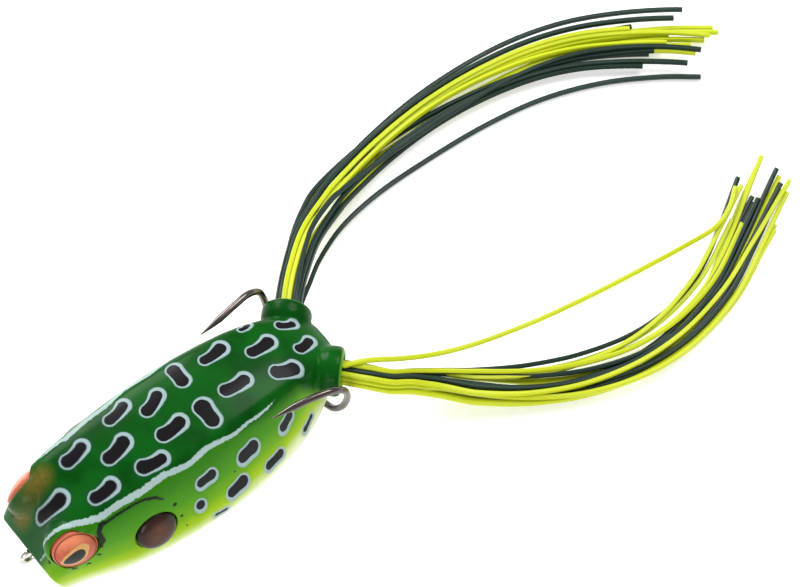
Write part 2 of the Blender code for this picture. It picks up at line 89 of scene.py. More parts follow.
def makeLights():
    for name, place, size, watts in lamps:
        data = bpy.data.lights.new(name, "AREA")
        data.shape = "SQUARE"
        data.size = size
        data.energy = watts
        lamp = bpy.data.objects.new(name, data)
        scene.collection.objects.link(lamp)
        lamp.location = place
        aim = Vector((0, 0.04, 0)) - Vector(place)
        lamp.rotation_euler = aim.to_track_quat("-Z", "Y").to_euler()
    world = bpy.data.worlds.new("studio")
    world.use_nodes = True
    world.node_tree.nodes["Background"].inputs["Color"].default_value = (1, 1, 1, 1)
    world.node_tree.nodes["Background"].inputs["Strength"].default_value = studio["world"]
    scene.world = world
    scene.view_settings.view_transform = "Standard"


def makeFloor():
    mesh = bpy.data.meshes.new("floor")
    h = studio["floorHalf"]
    low = -studio["floorDrop"] * mm
    mesh.from_pydata([(-h, -h, low), (h, -h, low), (h, h, low), (-h, h, low)], [], [(0, 1, 2, 3)])
    floor = bpy.data.objects.new("floor", mesh)
    scene.collection.objects.link(floor)
    paint = plainMaterial("paleFloor", (0.93, 0.93, 0.93), 0.9)
    shader = paint.node_tree.nodes["Principled BSDF"]
    shader.inputs["Specular IOR Level"].default_value = 0.1
    shader.inputs["Emission Color"].default_value = (1, 1, 1, 1)
    shader.inputs["Emission Strength"].default_value = studio["floorGlow"]
    mesh.materials.append(paint)


# small helpers for materials

# an 8-bit screen colour as linear light
def linear(r, g, b):
    def one(c):
        c = c / 255
        return c / 12.92 if c <= 0.04045 else ((c + 0.055) / 1.055) ** 2.4
    return (one(r), one(g), one(b), 1.0)


def plainMaterial(name, color, roughness):
    mat = bpy.data.materials.new(name)
    mat.use_nodes = True
    shader = mat.node_tree.nodes["Principled BSDF"]
    shader.inputs["Base Color"].default_value = (*color[:3], 1.0)
    shader.inputs["Roughness"].default_value = roughness
    return mat


# builds one node material: each call adds a node and gives back its output socket
class Paint:

    def __init__(self, name, **shaderValues):
        self.mat = bpy.data.materials.new(name)
        self.mat.use_nodes = True
        self.tree = self.mat.node_tree
        self.shader = self.tree.nodes["Principled BSDF"]
        for key, value in shaderValues.items():
            self.shader.inputs[key.replace("_", " ")].default_value = value
        self.coords = self.tree.nodes.new("ShaderNodeTexCoord").outputs["Object"]

    def wire(self, value, socket):
        if isinstance(value, bpy.types.NodeSocket):
            self.tree.links.new(value, socket)
        elif value is not None:
            socket.default_value = value

    def attribute(self, name):
        node = self.tree.nodes.new("ShaderNodeAttribute")
        node.attribute_name = name
        return node.outputs["Fac"]

    def math(self, operation, a, b=None, clamp=False):
        node = self.tree.nodes.new("ShaderNodeMath")
        node.operation = operation
        node.use_clamp = clamp
        self.wire(a, node.inputs[0])
        self.wire(b, node.inputs[1])
        return node.outputs[0]

    def noise(self, scale, detail=3.0, stretch=None, roughness=0.5):
        node = self.tree.nodes.new("ShaderNodeTexNoise")
        node.inputs["Scale"].default_value = scale
        node.inputs["Detail"].default_value = detail
        node.inputs["Roughness"].default_value = roughness
        source = self.coords
        if stretch:
            mapping = self.tree.nodes.new("ShaderNodeMapping")
            mapping.inputs["Scale"].default_value = stretch
            self.tree.links.new(self.coords, mapping.inputs["Vector"])
            source = mapping.outputs["Vector"]
        self.tree.links.new(source, node.inputs["Vector"])
        return node.outputs["Fac"]

    # smooth step from bottom, at low, to top, at high
    def step(self, value, low, high, bottom=0.0, top=1.0):
        node = self.tree.nodes.new("ShaderNodeMapRange")
        node.interpolation_type = "SMOOTHSTEP"
        self.wire(value, node.inputs["Value"])
        node.inputs["From Min"].default_value = low
        node.inputs["From Max"].default_value = high
        node.inputs["To Min"].default_value = bottom
        node.inputs["To Max"].default_value = top
        return node.outputs["Result"]

    def mix(self, share, a, b):
        node = self.tree.nodes.new("ShaderNodeMix")
        node.data_type = "RGBA"
        self.wire(share, node.inputs["Factor"])
        self.wire(a, node.inputs["A"])
        self.wire(b, node.inputs["B"])
        return node.outputs["Result"]

    def ramp(self, value, stops):
        node = self.tree.nodes.new("ShaderNodeValToRGB")
        ramp = node.color_ramp
        while len(ramp.elements) < len(stops):
            ramp.elements.new(0.5)
        for element, (place, color) in zip(ramp.elements, stops):
            element.position = place
            element.color = color
        self.wire(value, node.inputs["Fac"])
        return node.outputs["Color"]

    def bump(self, height, strength, distance):
        node = self.tree.nodes.new("ShaderNodeBump")
        node.inputs["Strength"].default_value = strength
        node.inputs["Distance"].default_value = distance
        self.tree.links.new(height, node.inputs["Height"])
        self.tree.links.new(node.outputs["Normal"], self.shader.inputs["Normal"])

    def color(self, socket):
        self.wire(socket, self.shader.inputs["Base Color"])


# small helpers for shapes

# Catmull-Rom through a list of vectors; position runs from 0 to the last index
def spline(values, position):
    last = len(values) - 1
    index = min(int(position), last - 1)
    t = position - index
    p1 = values[index]
    p2 = values[index + 1]
    p0 = values[index - 1] if index > 0 else p1 * 2 - p2
    p3 = values[index + 2] if index + 2 <= last else p2 * 2 - p1
    return 0.5 * (p1 * 2 + (p2 - p0) * t + (p0 * 2 - p1 * 5 + p2 * 4 - p3) * t ** 2
                  + (p1 * 3 - p0 - p2 * 3 + p3) * t ** 3)


# evenly spaced points on the smooth curve through a route
def along(route, count):
    points = [Vector(p) for p in route]
    fine = [spline(points, (len(points) - 1) * i / 600) for i in range(601)]
    travelled = [0.0]
    for a, b in zip(fine, fine[1:]):
        travelled.append(travelled[-1] + (b - a).length)
    result = []
    k = 0
    for i in range(count):
        target = travelled[-1] * i / (count - 1)
        while k < 599 and travelled[k + 1] < target:
            k += 1
        t = (target - travelled[k]) / (travelled[k + 1] - travelled[k])
        result.append(fine[k].lerp(fine[k + 1], min(t, 1.0)))
    return result


def newObject(name, mesh, material=None):
    obj = bpy.data.objects.new(name, mesh)
    scene.collection.objects.link(obj)
    if material:
        mesh.materials.append(material)
    mesh.shade_smooth()
    return obj


def meshObject(name, bm, material=None, sharp=None):
    bmesh.ops.recalc_face_normals(bm, faces=bm.faces)
    mesh = bpy.data.meshes.new(name)
    bm.to_mesh(mesh)
    bm.free()
    obj = newObject(name, mesh, material)
    if sharp:
        mesh.set_sharp_from_angle(angle=math.radians(sharp))
    return obj


def bridge(bm, rings, closed=False):
    pairs = list(zip(rings, rings[1:]))
    if closed:
        pairs.append((rings[-1], rings[0]))
    for a, b in pairs:
        for i in range(max(len(a), len(b))):
            j = (i + 1) % max(len(a), len(b))
            corners = [a[i % len(a)], a[j % len(a)], b[j % len(b)], b[i % len(b)]]
            face = []
            for corner in corners:
                if corner not in face:
                    face.append(corner)
            bm.faces.new(face)


# a solid turned about its normal from (radius, height) pairs in mm
def turned(name, profile, sides, centre=(0, 0, 0), normal=(0, 0, 1), material=None, start=0.0, sharp=35):
    turn = Matrix.Translation(Vector(centre)) @ Vector(normal).to_track_quat("Z", "Y").to_matrix().to_4x4()
    bm = bmesh.new()
    rings = []
    for radius, height in profile:
        count = sides if radius > 1e-6 else 1
        ring = []
        for i in range(count):
            a = start + math.tau * i / sides
            local = Vector((radius * math.cos(a), radius * math.sin(a), height))
            ring.append(bm.verts.new((turn @ local) * mm))
        rings.append(ring)
    bridge(bm, rings)
    return meshObject(name, bm, material, sharp)


# a round bar swept along points in mm, with a radius at each point
def tube(name, points, radii, sides, material=None, closed=False):
    bm = bmesh.new()
    count = len(points)
    rings = []
    side = None
    for i, p in enumerate(points):
        before = points[i - 1] if closed or i else p
        after = points[(i + 1) % count] if closed or i < count - 1 else p
        heading = (after - before).normalized()
        if side is None:
            side = heading.cross(Vector((0, 0, 1)))
            if side.length < 0.1:
                side = heading.cross(Vector((1, 0, 0)))
        side = (side - heading * side.dot(heading)).normalized()
        up = side.cross(heading)
        ring = []
        for j in range(sides):
            a = math.tau * j / sides
            ring.append(bm.verts.new((p + (side * math.cos(a) + up * math.sin(a)) * radii[i]) * mm))
        rings.append(ring)
    bridge(bm, rings, closed)
    if not closed:
        bm.faces.new(rings[0])
        bm.faces.new(rings[-1])
    return meshObject(name, bm, material)


# joins or cuts with a guide, which is then removed
def boolean(obj, cutter, operation):
    step = obj.modifiers.new("join", "BOOLEAN")
    step.operation = operation
    step.solver = "EXACT"
    step.object = cutter
    applyAll(obj)
    bpy.data.objects.remove(cutter, do_unlink=True)


def applyAll(obj):
    graph = bpy.context.evaluated_depsgraph_get()
    mesh = bpy.data.meshes.new_from_object(obj.evaluated_get(graph))
    obj.modifiers.clear()
    obj.data = mesh


def mirrored(point, side):
    return (point[0] * side, point[1], point[2])


# body: a smooth loft with bosses, cup, sockets, bores and the belly slot

body = {
    # y, belly z, back z, half-width, shoulder half-width, valley
    "stations": [
        (-28.8, 2.6, 8.2, 7.6, 7.2, 0.0), (-26.8, 1.2, 12.4, 8.2, 7.6, 0.9),
        (-24.6, 0.5, 16.2, 8.8, 7.9, 1.4), (-21.8, 0.1, 18.6, 9.5, 8.1, 1.2),
        (-17.0, 0.0, 19.5, 10.7, 8.5, 0.5), (-10.0, 0.0, 20.2, 12.0, 8.9, 0.0),
        (-2.0, 0.0, 20.6, 12.7, 9.1, 0.0), (6.0, 0.0, 20.5, 12.6, 8.9, 0.0),
        (13.0, 0.3, 19.8, 11.8, 8.4, 0.0), (19.0, 1.3, 18.6, 10.4, 7.6, 0.0),
        (24.0, 3.4, 16.8, 8.3, 6.4, 0.0), (28.0, 5.6, 14.4, 5.8, 4.4, 0.0),
        (30.4, 7.4, 12.0, 3.2, 2.4, 0.0),
    ],
    "lipSlant": 0.36,
    "leanLength": 14.0,
    "wall": 1.9,
    "cavity": (-17.5, 24.0),
    "cup": (12.6, 5.0, 4.0),
    "noseHole": (1.9, -24.6, 5.3),
    "slot": (2.5, 13.5, 25.5, 5.0),
    "voxel": 0.26,
    "relaxSteps": 12,
    "socketGap": 0.3,
    "holeLength": 16.0,
    "slotCorner": 1.2,
}
boss = {
    "mouth": (7.4, 28.8, 11.6), "angle": 45.0, "radius": 4.15, "root": 3.7, "length": 6.5, "lip": 0.9,
    "bore": 2.9, "depth": 4.2,
}
eye = {
    "centre": (7.0, -23.8, 13.6), "normal": (0.92, -0.25, 0.30), "radius": 3.75, "socket": 1.5,
    "seat": 1.2, "dome": 1.15,
    # mound of body plastic round the eye, as (radius, height) above the eye's centre plane
    "brow": [(0, -4.0), (3.6, -4.0), (4.5, -2.4), (4.6, -1.2), (4.45, -0.5), (4.25, -0.2), (0, -0.15)],
}
ear = {
    "centre": (10.8, -11.0, 9.9), "normal": (0.94, -0.06, 0.33), "radius": 3.5, "socket": 0.9, "seat": 0.6,
    "dome": 1.3,
}


def bodyLoft(name, inset, start, end, steps, ringSteps):
    stations = [Vector(row) for row in body["stations"]]
    first = stations[0][0]
    total = (len(stations) - 1) * steps
    bm = bmesh.new()
    rings = []
    for i in range(total + 1):
        y, low, high, wide, shoulder, valley = spline(stations, i / steps)
        if not start - 1e-6 <= y <= end + 1e-6:
            continue
        low = max(low, 0.0) + inset
        high -= inset
        wide -= inset
        shoulder -= inset
        fade = 1.0 - min(1.0, (y - first) / body["leanLength"])
        lean = body["lipSlant"] * fade ** 2 if inset == 0 else 0.0
        h = high - low
        slope = wide - shoulder
        half = [
            (0.60 * wide, low), (0.88 * wide, low + 0.07 * h), (wide, low + 0.23 * h),
            (shoulder + 0.60 * slope, low + 0.52 * h), (shoulder + 0.14 * slope, low + 0.80 * h),
            (0.86 * shoulder, low + 0.945 * h), (0.48 * shoulder, high - 0.012 * h - 0.25 * valley),
        ]
        loop = [(0.0, low)] + half + [(0.0, high - valley)] + [(-x, z) for x, z in reversed(half)]
        points = [Vector(p) for p in loop]
        ring = []
        for k in range(len(points)):
            near = [points[(k + n) % len(points)] for n in (-1, 0, 1, 2)]
            for j in range(ringSteps):
                x, z = spline(near, 1 + j / ringSteps)
                z = max(z, low)
                ring.append(bm.verts.new(Vector((x, y + lean * (high - z), z)) * mm))
        rings.append(ring)
    bridge(bm, rings)
    for ring in (rings[0], rings[-1]):
        centre = bm.verts.new(sum((v.co for v in ring), Vector()) / len(ring))
        for i in range(len(ring)):
            bm.faces.new((ring[i], ring[(i + 1) % len(ring)], centre))
    return meshObject(name, bm)


def bossAxis(side):
    a = math.radians(boss["angle"])
    return Vector((side * math.sin(a), math.cos(a), 0.0))


# profile points of a rounded rim, from its foot up to the flat top at height 0
def roundedEnd(radius, bend):
    points = []
    for i in range(7):
        a = math.pi / 2 * i / 6
        points.append((radius - bend * (1 - math.cos(a)), -bend * (1 - math.sin(a))))
    return points


def outerBody():
    outer = bodyLoft("bodyVisual", 0.0, -100, 100, 8, 6)
    for side in (1, -1):
        profile = [(0, -boss["length"]), (boss["root"], -boss["length"]), (boss["root"], -3.6),
                   (boss["radius"], -2.5), (boss["radius"], -boss["lip"])]
        profile += roundedEnd(boss["radius"], boss["lip"]) + [(0, 0)]
        guide = turned("bossGuide", profile, 64, mirrored(boss["mouth"], side), bossAxis(side), start=0.05)
        boolean(outer, guide, "UNION")
        brow = turned("browGuide", eye["brow"], 64, mirrored(eye["centre"], side),
                      mirrored(eye["normal"], side), start=0.03)
        boolean(outer, brow, "UNION")
    width, height, depth = body["cup"]
    lip = body["stations"][0]
    middle = (lip[1] + lip[2]) / 2
    bowl = []
    for d in range(-60, 61, 8):
        bowl.append((math.cos(math.radians(d)), math.sin(math.radians(d))))
    cup = turned("cupGuide", [(0, -1)] + bowl + [(0, 1)], 64, start=0.07)
    cup.data.transform(Matrix.Scale(1 / mm, 4))
    cupPlace = Vector((0, lip[0] + body["lipSlant"] * (lip[2] - middle), middle))
    cup.matrix_world = (Matrix.Translation(cupPlace * mm)
                        @ Matrix.Rotation(math.atan(body["lipSlant"]), 4, "X")
                        @ Matrix.Diagonal((width / 2 * mm, depth * mm, height / 2 * mm, 1)))
    boolean(outer, cup, "DIFFERENCE")
    remesh = outer.modifiers.new("even", "REMESH")
    remesh.mode = "VOXEL"
    remesh.voxel_size = body["voxel"] * mm
    relax = outer.modifiers.new("relax", "SMOOTH")
    relax.factor = 0.5
    relax.iterations = body["relaxSteps"]
    applyAll(outer)
    return outer


# everything cut out of the solid body after smoothing, as one guide
def innerGuide():
    inner = bodyLoft("cavityGuide", body["wall"], *body["cavity"], 4, 3)
    radius, front, z = body["noseHole"]
    far = body["holeLength"]
    hole = turned("holeGuide", [(0, 0), (radius, 0), (radius, far), (0, far)], 48, (0, front, z), (0, 1, 0),
                  start=0.11)
    boolean(inner, hole, "UNION")
    half, front, back, top = body["slot"]
    bm = bmesh.new()
    bmesh.ops.create_cube(bm, size=1.0)
    bmesh.ops.scale(bm, vec=Vector((2 * half, back - front, top + 2)) * mm, verts=bm.verts)
    bmesh.ops.translate(bm, vec=Vector((0, (front + back) / 2, top / 2 - 1)) * mm, verts=bm.verts)
    bmesh.ops.bevel(bm, geom=[e for e in bm.edges if abs((e.verts[0].co - e.verts[1].co).z) > 0.001],
                    offset=body["slotCorner"] * mm, segments=5, affect="EDGES")
    boolean(inner, meshObject("slotGuide", bm), "UNION")
    for side in (1, -1):
        radius = boss["bore"]
        depth = boss["depth"]
        bore = turned("boreGuide", [(0, -depth), (radius, -depth), (radius, -0.5), (radius + 0.12, -0.2),
                                    (radius + 0.5, 0.06), (radius + 0.5, 1), (0, 1)], 64,
                      mirrored(boss["mouth"], side), bossAxis(side), start=0.13)
        boolean(inner, bore, "UNION")
        for part in (eye, ear):
            wide = part["radius"] + body["socketGap"]
            deep = part["socket"]
            socket = turned("socketGuide", [(0, -deep), (wide, -deep), (wide, 4), (0, 4)], 96,
                            mirrored(part["centre"], side), mirrored(part["normal"], side), start=0.09)
            boolean(inner, socket, "UNION")
    return inner


def makeBody():
    shell = outerBody()
    boolean(shell, innerGuide(), "DIFFERENCE")
    shell.data.shade_smooth()
    shell.data.set_sharp_from_angle(angle=math.radians(42))
    print("body mesh:", len(shell.data.polygons), "faces")
    paintBody(shell)
    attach(shell, "frog_body")
    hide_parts("body_shell")
    return shell


# body paint: distances are worked out at each vertex and coloured in the material

pattern = {
    # black cores as two round lobes (x, y, radius), (x, y, radius), seen from above
    "backSpots": [
        ((-4.1, -14.2, 1.0), (-3.6, -17.0, 1.2)), ((-5.7, -4.9, 0.9), (-5.0, -7.8, 1.0)),
        ((-3.7, 0.3, 1.0), (-2.5, -2.3, 1.1)), ((-5.9, 5.2, 1.1), (-3.4, 5.1, 1.1)),
        ((-4.8, 13.5, 1.1), (-4.4, 10.3, 0.9)), ((-6.4, 19.9, 0.6), (-6.1, 18.7, 0.5)),
        ((-3.0, 26.4, 0.7), (-3.6, 24.6, 0.8)), ((-1.6, 20.6, 1.1), (-1.3, 17.4, 1.0)),
        ((1.1, 26.7, 0.8), (1.8, 24.5, 0.9)), ((4.5, 21.0, 1.2), (3.8, 18.5, 1.2)),
        ((2.2, 13.1, 1.0), (2.1, 9.7, 1.1)), ((2.4, 4.8, 1.4), (5.0, 4.8, 1.2)),
        ((2.3, 0.3, 1.1), (2.5, -2.8, 1.2)), ((-0.4, -8.7, 1.2), (0.3, -11.7, 1.2)),
        ((5.5, -5.5, 0.9), (4.9, -8.5, 1.2)), ((4.2, -14.5, 1.1), (4.2, -17.2, 1.1)),
        ((0.4, -21.8, 1.3), (-0.4, -24.7, 0.9)),
    ],
    # the same along the flank, as (y, z, radius)
    "flankSpots": [
        ((16.6, 13.2, 0.8), (15.2, 12.4, 0.9)), ((20.8, 8.4, 0.4), (19.0, 7.4, 0.5)),
        ((8.6, 13.7, 1.2), (6.7, 13.4, 1.1)), ((13.0, 7.7, 0.8), (10.6, 7.4, 0.8)),
        ((0.4, 14.5, 0.9), (-1.6, 14.3, 0.8)), ((5.1, 8.5, 1.1), (2.9, 8.0, 0.9)),
        ((-2.9, 9.8, 0.8), (-2.9, 9.8, 0.8)), ((1.0, 5.1, 0.3), (-0.9, 5.4, 0.3)),
    ],
    # how far a spot's waist draws in, and how far the middle of a back spot leans to the left
    "pinch": 0.08,
    "bend": 0.2,
    # flank spots are taller than they are long in y, by one over this
    "flankSqueeze": 0.78,
    "flankDots": [(-6.9, 13.3, 0.4), (-6.4, 9.9, 0.3), (-6.1, 7.3, 0.2), (4.4, 11.7, 0.2)],
    # pale stripe along the shoulder
    "stripe": [
        (7.3, 15.3, 18.0), (7.7, 13.6, 18.0), (8.0, 11.4, 18.1), (8.0, 9.4, 18.4), (8.4, 6.6, 18.4),
        (8.2, 3.9, 18.9), (8.0, 1.6, 19.2), (8.4, -2.6, 18.8), (7.7, -7.0, 19.3), (7.7, -10.8, 18.9),
        (7.2, -15.3, 18.7), (7.1, -18.6, 18.3), (6.3, -20.5, 18.2), (5.1, -22.1, 16.8),
        (4.6, -23.7, 16.7), (4.1, -25.2, 14.7), (3.9, -26.5, 12.4), (3.5, -28.2, 9.2),
    ],
    # half-width of the stripe along its points, from the tail end
    "stripeHalf": [0.0, 0.2, 0.24, 0.25, 0.3, 0.36, 0.42, 0.46, 0.5, 0.52, 0.5, 0.5, 0.46, 0.42, 0.36, 0.3,
                   0.22, 0.1],
    # on the right the front of the stripe keeps further out, as (x, y, z)
    "rightFront": [(7.6, -15.3, 18.6), (7.7, -19.0, 17.9), (7.8, -22.0, 16.6), (7.9, -25.0, 13.6),
                   (7.7, -28.4, 6.0)],
    # black brush streak under the front of the stripe, then down behind the eye
    "streak": [
        (9.6, -8.3, 15.7), (9.0, -9.5, 17.0), (8.6, -11.1, 17.7), (8.3, -12.8, 17.9), (8.2, -14.6, 17.8),
        (8.0, -16.5, 17.6), (7.9, -17.9, 17.4), (7.8, -19.0, 17.4), (8.2, -19.8, 16.3), (8.7, -19.7, 13.8),
    ],
    "streakHalf": [0.12, 0.3, 0.3, 0.22, 0.26, 0.26, 0.3, 0.5, 0.42, 0.6],
    # bronze-gold tint on the right brow, with a painted warm highlight over it
    "browTintAndSheen": [(-4.4, -21.6, 18.0), (-4.2, -24.0, 16.2), (-3.4, -27.0, 11.2)],
    "lashes": [
        ((8.6, -19.7, 13.8, 0.55), (8.7, -20.2, 12.7, 0.5)),
        ((8.9, -20.9, 10.6, 0.3), (8.95, -20.4, 10.4, 0.2)),
        ((8.5, -22.8, 9.2, 0.3), (8.6, -22.4, 9.0, 0.2)), ((8.0, -25.2, 9.6, 0.3), (8.1, -24.6, 9.2, 0.2)),
        ((5.0, -27.6, 10.3, 0.3), (5.6, -27.1, 10.2, 0.2)),
    ],
}


# distance outside a two-lobed spot with a pinched waist; a and b hold a centre then a radius
def lobeDistance(points, a, b, bend=0.0):
    a = np.array(a)
    b = np.array(b)
    axis = b[:-1] - a[:-1]
    length2 = max(float(axis @ axis), 1e-6)
    t = np.clip((points - a[:-1]) @ axis / length2, 0, 1)
    nearest = a[:-1] + t[:, None] * axis
    nearest[:, 0] += bend * 4 * t * (1 - t)
    waist = pattern["pinch"] * 4 * t * (1 - t) if length2 > 1 else 0.0
    radius = a[-1] + (b[-1] - a[-1]) * t - waist
    return np.linalg.norm(points - nearest, axis=1) - radius


# distance outside a brush line with its own half-width along the way
def pathDistance(points, path, halves):
    best = np.full(len(points), 99.0)
    rows = list(zip(path, halves))
    for (p, r), (q, s) in zip(rows, rows[1:]):
        p = np.array(p)
        q = np.array(q)
        axis = q - p
        t = np.clip((points - p) @ axis / float(axis @ axis), 0, 1)
        nearest = p + t[:, None] * axis
        best = np.minimum(best, np.linalg.norm(points - nearest, axis=1) - (r + (s - r) * t))
    return best


# named distances in mm for vertices v with normals n
def bodyPatterns(v, n):
    x, y, z = v.T
    ax = np.abs(x)
    away = np.full(len(v), 9.0)
    core = away.copy()
    ring = away.copy()
    top = n[:, 2] > -0.1
    for a, b in pattern["backSpots"]:
        d = lobeDistance(v[:, :2], a, b, bend=pattern["bend"])
        toTail = y - (a[1] + b[1]) / 2
        reach = 0.37 + 0.28 * np.clip(toTail / 2.2, -0.3, 1.0)
        d = np.where(top & (z > 8), d, 9.0)
        core = np.minimum(core, d)
        ring = np.minimum(ring, d - reach)
    for a, b in pattern["flankSpots"]:
        squeeze = np.array((1.0, pattern["flankSqueeze"]))
        d = lobeDistance(v[:, 1:] * squeeze, (*squeeze * a[:2], a[2]), (*squeeze * b[:2], b[2]))
        low = (a[1] + b[1]) / 2 - z
        reach = 0.4 + 0.34 * np.clip(low / 2.4, -0.2, 1.0)
        d = np.where(ax > 5, d, 9.0)
        core = np.minimum(core, d)
        ring = np.minimum(ring, d - reach)
    for dy, dz, r in pattern["flankDots"]:
        d = np.hypot(y - dy, z - dz) - r
        core = np.minimum(core, np.where(ax > 5, d, 9.0))
    folded = np.stack([ax, y, z], axis=1)
    line = np.array(pattern["stripe"])
    order = np.argsort(line[:, 1])
    ys = line[order, 1]
    halves = np.array(pattern["stripeHalf"])[order]
    xs = np.interp(y, ys, line[order, 0])
    zs = np.interp(y, ys, line[order, 2])
    right = np.array(pattern["rightFront"])[::-1]
    atRight = (x < 0) & (y < right[-1, 1])
    xs = np.where(atRight, np.interp(y, right[:, 1], right[:, 0]), xs)
    zs = np.where(atRight, np.interp(y, right[:, 1], right[:, 2]), zs)
    lean = np.clip((y + 24) / 6, 0, 1)
    down = ((ax - xs) * 0.7 - (z - zs) * 0.7) * lean + (ax - xs) * 0.9 * (1 - lean)
    tail = np.clip((y - 20) / 6, 0, 1)
    down = down * (1 - tail) + (9.6 - z) * tail
    jaw = np.clip((-22 - y) / 3, 0, 1)
    down = down * (1 - jaw) + np.maximum(down, (5.2 - z) * 0.8) * jaw
    stripe = np.abs(down) - np.interp(y, ys, halves)
    beyond = np.maximum(ys[0] - y, y - ys[-1])
    stripe = np.where(beyond > 0, np.maximum(stripe, beyond), stripe)
    stripe = np.where(z > 7.5, stripe, 9.0)
    streak = pathDistance(folded, pattern["streak"], pattern["streakHalf"])
    for a, b in pattern["lashes"]:
        streak = np.minimum(streak, lobeDistance(folded, a, b))
    # distance to the right-brow line of the bronze tint and its painted warm highlight
    browTintAndSheen = pathDistance(v, pattern["browTintAndSheen"], [0.0] * len(pattern["browTintAndSheen"]))
    rim = away.copy()
    for side in (1, -1):
        axis = np.array(bossAxis(side))
        local = v - np.array(mirrored(boss["mouth"], side))
        deep = -(local @ axis)
        beside = np.linalg.norm(local + deep[:, None] * axis, axis=1)
        rim = np.minimum(rim, np.where(beside < boss["radius"] + 0.4, deep, 9.0))
    return {"core": core, "ring": ring, "stripe": stripe, "down": down, "streak": streak, "browTintAndSheen": browTintAndSheen,
            "rim": rim}


def paintBody(shell):
    mesh = shell.data
    v = np.empty(len(mesh.vertices) * 3, dtype=np.float32)
    mesh.vertices.foreach_get("co", v)
    v = v.reshape(-1, 3) / mm
    n = np.empty(len(mesh.vertices) * 3, dtype=np.float32)
    mesh.vertex_normals.foreach_get("vector", n)
    for name, values in bodyPatterns(v.astype(float), n.reshape(-1, 3)).items():
        layer = mesh.attributes.new(name, "FLOAT", "POINT")
        layer.data.foreach_set("value", np.clip(values, -9, 9).astype(np.float32))
    mesh.materials.clear()
    mesh.materials.append(bodyMaterial())


def bodyMaterial():
    p = Paint("softBodyPaint", Roughness=0.3, Coat_Weight=0.04, Coat_Roughness=0.1, Specular_IOR_Level=0.07)
    split = p.tree.nodes.new("ShaderNodeSeparateXYZ")
    p.tree.links.new(p.coords, split.inputs[0])
    y = p.math("MULTIPLY", split.outputs["Y"], 1000.0)
    z = p.math("MULTIPLY", split.outputs["Z"], 1000.0)
    cloud = p.noise(160.0, 3.0)
    fine = p.noise(1500.0, 4.0, roughness=0.7)
    grain = p.noise(4200.0, 2.0, roughness=0.8)
    # back greens
    back = p.mix(p.step(cloud, 0.35, 0.65), linear(0, 66, 8), linear(4, 84, 14))
    snout = p.step(y, -26.5, -19.5, 1.0, 0.0)
    back = p.mix(p.math("MULTIPLY", snout, 0.45), back, linear(40, 92, 50))
    # flank: green to yellow-green to white, level measured down from the shoulder
    level = p.math("ADD", z, p.math("MULTIPLY", p.math("SUBTRACT", p.noise(90.0, 2.0), 0.5), 2.2))
    level = p.math("SUBTRACT", level, p.step(y, 0.0, 26.0, 0.0, 3.4))
    level = p.math("ADD", level, p.math("MULTIPLY", p.math("SUBTRACT", grain, 0.5), 1.6))
    flank = p.ramp(p.math("DIVIDE", level, 20.0), [
        (0.09, linear(236, 240, 230)), (0.20, linear(222, 232, 180)), (0.33, linear(158, 192, 16)),
        (0.46, linear(106, 162, 0)), (0.62, linear(70, 140, 0)), (0.86, linear(44, 114, 2)),
    ])
    # bronze-gold patch on the right brow: brownish tint plus a painted warm highlight
    browTintAndSheen = p.step(p.attribute("browTintAndSheen"), 0.2, 3.0, 0.75, 0.0)
    browTintAndSheen = p.math("MULTIPLY", browTintAndSheen, p.step(fine, 0.2, 0.7, 0.35, 1.0))
    back = p.mix(browTintAndSheen, back, linear(124, 98, 40))
    down = p.attribute("down")
    edge = p.math("ADD", down, p.math("MULTIPLY", p.math("SUBTRACT", grain, 0.5), 0.5))
    soft = p.math("ADD", p.step(y, 4.0, 17.0, 0.35, 3.2), p.step(y, -28.0, -23.0, 1.6, 0.0))
    side = p.step(p.math("DIVIDE", edge, soft), -0.2, 1.0)
    base = p.mix(side, back, flank)
    base = p.mix(p.step(p.attribute("rim"), 0.12, 0.5, 0.85, 0.0), base, linear(98, 160, 40))
    # shade around the spots and the stripe
    spot = p.math("ADD", p.attribute("core"), p.math("MULTIPLY", p.math("SUBTRACT", fine, 0.5), 0.22))
    ringSpan = p.math("ADD", p.attribute("ring"), p.math("MULTIPLY", p.math("SUBTRACT", fine, 0.5), 0.22))
    front = p.step(y, -19.0, 2.0, 1.0, 0.0)
    strength = p.math("ADD", p.math("MULTIPLY", front, 0.7), 0.3)
    haze = p.math("MULTIPLY", p.step(ringSpan, 0.05, 0.75, 0.34, 0.0), strength)
    base = p.mix(haze, base, linear(26, 62, 52))
    stripeEdge = p.math("ADD", p.attribute("stripe"), p.math("MULTIPLY", p.math("SUBTRACT", fine, 0.5), 0.85))
    stripe = p.step(stripeEdge, -0.05, 0.12, 1.0, 0.0)
    base = p.mix(stripe, base, p.mix(cloud, linear(146, 172, 168), linear(178, 198, 196)))
    ringShare = p.step(ringSpan, -0.14, 0.12, 1.0, 0.0)
    base = p.mix(ringShare, base, p.mix(fine, linear(134, 160, 162), linear(166, 188, 190)))
    soften = p.math("ADD", p.math("MULTIPLY", front, 0.16), 0.04)
    coreShare = p.step(p.math("DIVIDE", spot, soften), -1.0, 1.0, 1.0, 0.0)
    base = p.mix(coreShare, base, linear(22, 20, 24))
    streakEdge = p.math("ADD", p.attribute("streak"), p.math("MULTIPLY", p.math("SUBTRACT", grain, 0.5), 0.9))
    base = p.mix(p.step(streakEdge, -0.08, 0.1, 1.0, 0.0), base, linear(16, 26, 18))
    p.color(base)
    p.bump(p.noise(700.0, 3.0), 0.12, 0.00004)
    return p.mat


# eyes, ears, hook, line tie

def domeProfile(radius, base, rise, rings=16):
    points = [(0, 0), (radius, 0), (radius, base)]
    for i in range(1, rings):
        a = math.pi / 2 * i / rings
        points.append((radius * math.cos(a), base + rise * math.sin(a)))
    return points + [(0, base + rise)]


